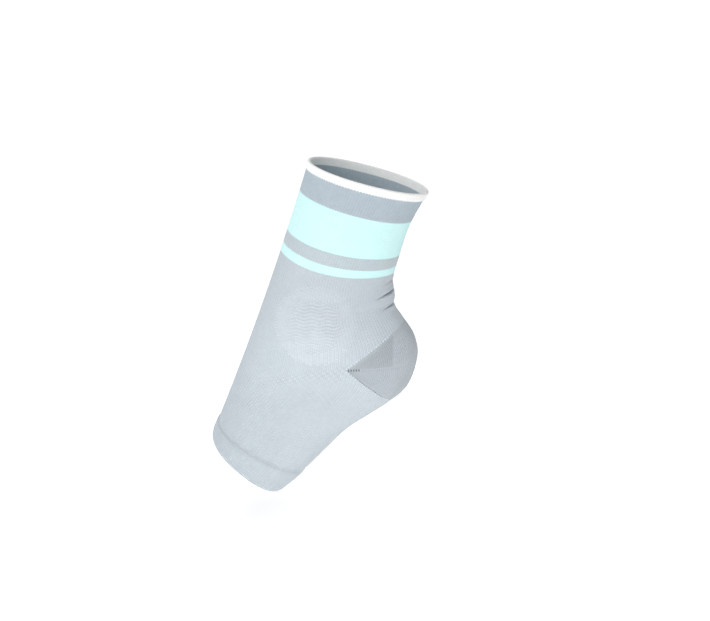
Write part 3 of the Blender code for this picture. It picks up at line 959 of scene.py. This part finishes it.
def stitch_size(run, length, from_cap):
    """How large the stitches are: proud at the tips and again near the back, sunk in behind the heel."""
    from_tip = np.minimum(run, length - run)
    proud = sum(swell(from_tip - place, PROUD_LENGTH) for place in PROUD_PLACES)
    uneven = 1 + SEAM_UNEVEN * np.sin(SEAM_BEAT * np.arange(len(run)) ** SEAM_BEAT_GROWTH)
    sunk = np.clip(from_cap / SEAM_CAP_FADE, SEAM_SUNK, 1)
    return (SEAM_LEAST + (1 - SEAM_LEAST) * proud) * uneven * sunk


def seam_stitches(name):
    """Short beads of yarn across both edges of the pocket, from one tip round to the other."""
    form = bmesh.new()
    for edge, inner in ((0, SEAM_INNER_ROW), (-1, -1 - SEAM_INNER_ROW)):
        height, turn = pocket_along[edge], pocket_turn[edge]
        lengths = run_lengths(on_sleeve(height, turn, BODY_WALL))
        stops = np.arange(SEAM_STITCH_PITCH / 2, lengths[-1], SEAM_STITCH_PITCH)
        stop_heights, stop_turns = np.interp(stops, lengths, height), np.interp(stops, lengths, turn)
        inner_heights = np.interp(stops, lengths, pocket_along[inner])
        inner_turns = np.interp(stops, lengths, pocket_turn[inner])
        places = on_sleeve(stop_heights, stop_turns, BODY_WALL)
        middles = on_sleeve(inner_heights, inner_turns, BODY_WALL)
        outward = read_grid(OUTWARD, stop_heights, stop_turns)
        sizes = stitch_size(stops, lengths[-1], CAP_START + SEAM_PAST_CAP - places[:, 0])
        tangents = np.gradient(places, axis=0)
        for place, normal, middle, tangent, size in zip(places, outward, middles, tangents, sizes):
            tangent = Vector(tangent).normalized()
            normal = Vector(normal)
            away = tangent.cross(normal).normalized()
            if away.dot(Vector(middle - place)) > 0:
                away = -away
            turned = Matrix((away, tangent, normal)).transposed().to_4x4()
            centre = Matrix.Translation(Vector(place) + away * SEAM_STITCH_OUT)
            stretched = Matrix.Diagonal((*(side * size for side in SEAM_STITCH), 1.0))
            bmesh.ops.create_icosphere(form, subdivisions=2, radius=1.0, matrix=centre @ turned @ stretched)
    mesh = bpy.data.meshes.new(name)
    form.to_mesh(mesh)
    form.free()
    return mesh


def seam_yarn_material():
    """A soft yarn of twisted plies, with painted shade between them, a little uneven from stitch to stitch.
    """
    material, tree, shader = yarn_surface("seam yarn")
    place = tree.nodes.new("ShaderNodeTexCoord").outputs["Object"]
    plies = tree.nodes.new("ShaderNodeTexWave")
    plies.bands_direction = "DIAGONAL"
    plies.inputs["Scale"].default_value = SEAM_PLY_SCALE
    plies.inputs["Distortion"].default_value = SEAM_PLY_SWAY
    patches = tree.nodes.new("ShaderNodeTexNoise")
    patches.inputs["Scale"].default_value = SEAM_MOTTLE_SCALE
    # Painted shade: the plies are lighter where they stand high and darker between them
    ply_painted_shade = calculate(tree, "MULTIPLY", plies.outputs["Fac"], SEAM_PLY_PAINTED_SHADE)
    mottle = calculate(tree, "SUBTRACT", patches.outputs["Fac"], 0.5)
    mottle = calculate(tree, "MULTIPLY", mottle, SEAM_MOTTLE)
    tone = calculate(tree, "ADD", calculate(tree, "ADD", SEAM_TONE, ply_painted_shade), mottle)
    relief = tree.nodes.new("ShaderNodeBump")
    relief.inputs["Distance"].default_value = SEAM_BUMP
    join(
        tree,
        (place, plies.inputs["Vector"]),
        (place, patches.inputs["Vector"]),
        (shaded(tree, SEAM_YARN[:3], tone), shader.inputs["Base Color"]),
        (plies.outputs["Fac"], relief.inputs["Height"]),
        (relief.outputs[0], shader.inputs["Normal"]),
    )
    return material


link(seam_stitches("knit_pocket_seam_stitches"), seam_yarn_material(), "body_yarn")

# Ankle zones
# Round pads of relief knit over the ankle bones, worked in the same yarn: a ring of tucked stitches round a
# middle of wavy cross ribs.

ZONE_SPOKES = 240
ZONE_RINGS = 56
ZONE_HEART = 0.01
ZONE_EDGE = 0.12
ZONE_STAND = 0.00020
ZONE_GREY = srgb(200, 209, 216)
MIDDLE_SHARE = 0.62
MIDDLE_FADE = 0.06
WAVE_PITCH = 0.0022
WAVE_SWAY = 0.0005
WAVE_LENGTH = 0.0015
WAVE_HEIGHT = 0.00020
# How strongly the wavy ribs get painted light on top and painted shade between them
WAVE_PAINTED_SHADE = 0.035

# Rings of tucked stitches, as (place, half width) in shares of the zone's radius
TUCK_RINGS = ((0.64, 0.045), (0.96, 0.035))


def ankle_zone(name, side, node):
    """The pad on one side, as a round grid from its middle out. Its edge meets the body's window."""
    spokes = 2 * math.pi * np.arange(ZONE_SPOKES) / ZONE_SPOKES * -side
    radii = ZONE_RADIUS * np.linspace(ZONE_HEART, 1, ZONE_RINGS)
    radius, spoke = np.meshgrid(radii, spokes, indexing="ij")
    x, z = radius * np.cos(spoke), radius * np.sin(spoke)
    places = [place_on_skin((a, 0.0, b), (0, side, 0)) for a, b in zip(x.ravel(), z.ravel())]
    along, turn = (np.array(values).reshape(x.shape) for values in zip(*places))
    share = radius / ZONE_RADIUS
    middle = ramp(MIDDLE_SHARE - share, MIDDLE_FADE)
    waves = np.cos(2 * math.pi * (z + WAVE_SWAY * np.sin(x / WAVE_LENGTH)) / WAVE_PITCH) * middle
    tucks = np.clip(sum(swell(share - place, width) for place, width in TUCK_RINGS), 0, 1)
    lift = BODY_WALL + ZONE_STAND * ramp(1 - share, ZONE_EDGE) + WAVE_HEIGHT * waves
    outer = on_sleeve(along, turn, lift + ribs(turn, BODY_RIB) * (1 - middle))
    points = both_sides(outer, on_sleeve(along, turn))
    rows, columns = points.shape[:2]
    number = np.arange(rows * columns).reshape(rows, columns)
    faces = ring_faces(rows, columns) + [number[0, ::-1].tolist(), number[-1].tolist()]
    mesh = bpy.data.meshes.new(name)
    mesh.from_pydata(points.reshape(-1, 3), [], faces)
    corner = np.empty(len(mesh.loops), dtype=int)
    mesh.loops.foreach_get("vertex_index", corner)
    stitches = np.stack((turn * WALES, (along - stitch_slant(along, turn)) / COURSE_PITCH), axis=2)
    stitches = both_sides(stitches, stitches).reshape(-1, 2)
    mesh.uv_layers.new(name="stitches").data.foreach_set("uv", stitches[corner].ravel())
    for mark, values in (("tucks", tucks), ("waves", waves)):
        values = both_sides(values, values).ravel()
        mesh.attributes.new(mark, "FLOAT", "POINT").data.foreach_set("value", values)
    form = bmesh.new()
    form.from_mesh(mesh)
    bmesh.ops.recalc_face_normals(form, faces=form.faces)
    form.to_mesh(mesh)
    form.free()
    link(mesh, zone_grey, "zone_yarn", node)


def zone_painted_shade(tree):
    """Painted light on the wavy ribs and painted shade between them."""
    return calculate(tree, "ADD", 1.0, calculate(tree, "MULTIPLY", read_mark(tree, "waves"), WAVE_PAINTED_SHADE))


zone_grey = knit_material(
    "zone grey yarn",
    ZONE_GREY,
    furrows=0.86,
    uneven=0.06,
    mottle=0.05,
    bump=0.00018,
    tucks="tucks",
    tone=zone_painted_shade,
)
ankle_zone("knit_outer_ankle_zone", -1, "outer_ankle_zone")
ankle_zone("knit_inner_ankle_zone", 1, "inner_ankle_zone")

# Foot hem
# The last courses, in light grey yarn. They are doubled over and linked down on the inside, which leaves a
# thin groove above them and a round open edge.

HEM_WALL = 0.0022
HEM_ROLL = 0.0010
HEM_ROWS = 19
HEM_INNER_ROWS = 7
HEM_GREY = srgb(193, 203, 210)


def hem_relief(along, turn):
    """The wales, and the groove above the hem, down to the depth that it has in the body."""
    return ribs(turn, BODY_RIB) - (HEM_WALL - BODY_WALL + HEM_GROOVE_DEPTH) * hem_groove(along)


def hem_profile():
    """Up the outside, down the inside and round the turned edge."""
    end = HEM_ROLL - FOOT_LENGTH
    outside, inside = wall_sides(end, HEM_TOP, HEM_WALL, HEM_ROWS, HEM_INNER_ROWS)
    return outside + inside + turned_edge(end, HEM_WALL, -HEM_ROLL)[::-1]


hem_grey = knit_material("hem grey yarn", HEM_GREY, furrows=0.84, uneven=0.05, mottle=0.05, bump=0.00018)
link(knit_ring("knit_foot_hem", hem_profile(), hem_relief), hem_grey, "body_yarn", "foot_hem")

# Floor, light and camera
# A plain white floor under the sleeve, soft studio light and the photograph's angle. The sleeve keeps the
# height at which it is worn, so it stands a little above the floor.

FLOOR_BELOW = 0.140
FLOOR_HALF = 12.0
PAPER_WHITE = 0.93
PAPER_ROUGHNESS = 0.9
PAPER_GLOW = 0.44
floor_mesh = bpy.data.meshes.new("floor")
floor_mesh.from_pydata(
    [(x * FLOOR_HALF, y * FLOOR_HALF, -FLOOR_BELOW) for x, y in ((-1, -1), (1, -1), (1, 1), (-1, 1))],
    [],
    [(0, 1, 2, 3)],
)
floor = bpy.data.objects.new("floor", floor_mesh)
bpy.context.scene.collection.objects.link(floor)
paper = bpy.data.materials.new("white paper")
paper.use_nodes = True
paper_shader = paper.node_tree.nodes["Principled BSDF"]
paper_shader.inputs["Base Color"].default_value = (PAPER_WHITE, PAPER_WHITE, PAPER_WHITE, 1.0)
paper_shader.inputs["Roughness"].default_value = PAPER_ROUGHNESS
paper_shader.inputs["Emission Color"].default_value = (1.0, 1.0, 1.0, 1.0)
paper_shader.inputs["Emission Strength"].default_value = PAPER_GLOW
floor_mesh.materials.append(paper)

# The studio is brighter on the toe side
STUDIO_LIGHT = 0.655
STUDIO_FALL = 0.38
scene = bpy.context.scene
world = bpy.data.worlds.new("studio")
world.use_nodes = True
sky = world.node_tree
sky.nodes["Background"].inputs["Color"].default_value = (1.0, 1.0, 1.0, 1.0)
direction = sky.nodes.new("ShaderNodeTexCoord")
sides = sky.nodes.new("ShaderNodeSeparateXYZ")
join(sky, (direction.outputs["Generated"], sides.inputs[0]))
fall = calculate(sky, "MULTIPLY", sides.outputs["X"], STUDIO_FALL)
brightness = calculate(sky, "SUBTRACT", STUDIO_LIGHT, fall)
join(sky, (brightness, sky.nodes["Background"].inputs["Strength"]))
scene.world = world
scene.view_settings.view_transform = "Standard"


def softbox(name, place, aim, size, power, colour=(1.0, 1.0, 1.0), spread=180.0):
    """A square area light that faces aim. spread is how wide it shines, in degrees."""
    light = bpy.data.lights.new(name, "AREA")
    light.shape = "SQUARE"
    light.size = size
    light.energy = power
    light.color = colour
    light.spread = math.radians(spread)
    lamp = bpy.data.objects.new(name, light)
    lamp.location = place
    lamp.rotation_euler = (Vector(aim) - Vector(place)).to_track_quat("-Z", "Y").to_euler()
    scene.collection.objects.link(lamp)


softbox("front softbox", (-0.7, -2.0, 0.9), aim=(0.0, 0.0, 0.0), size=1.4, power=13.0)
softbox("low fill", (0.9, -1.2, -0.10), aim=(0.0, 0.0, -0.03), size=0.7, power=1.5)
softbox(
    "sole fill",
    (0.40, -0.85, -0.115),
    aim=(0.01, -0.03, -0.095),
    size=0.20,
    power=0.055,
    colour=(1.0, 0.92, 0.88),
    spread=22.0,
)

# The photograph is 710 pixels wide, and an upright millimetre at the sleeve is about 1.47 of them
PICTURE_WIDTH = 710
SENSOR_WIDTH = 36.0
CAMERA_DISTANCE = 1.5
CAMERA_ELEVATION = math.radians(13.8)
METRES_PER_PIXEL = 0.00068
AIM = Vector((0.0262, 0.0, 0.0031))
camera_data = bpy.data.cameras.new("camera")
camera_data.sensor_width = SENSOR_WIDTH
camera_data.lens = SENSOR_WIDTH * CAMERA_DISTANCE / METRES_PER_PIXEL / PICTURE_WIDTH
camera = bpy.data.objects.new("camera", camera_data)
outwards = Vector((0, -math.cos(CAMERA_ELEVATION), math.sin(CAMERA_ELEVATION)))
camera.location = AIM + CAMERA_DISTANCE * outwards
camera.rotation_euler = (-outwards).to_track_quat("-Z", "Y").to_euler()
scene.collection.objects.link(camera)
scene.camera = camera
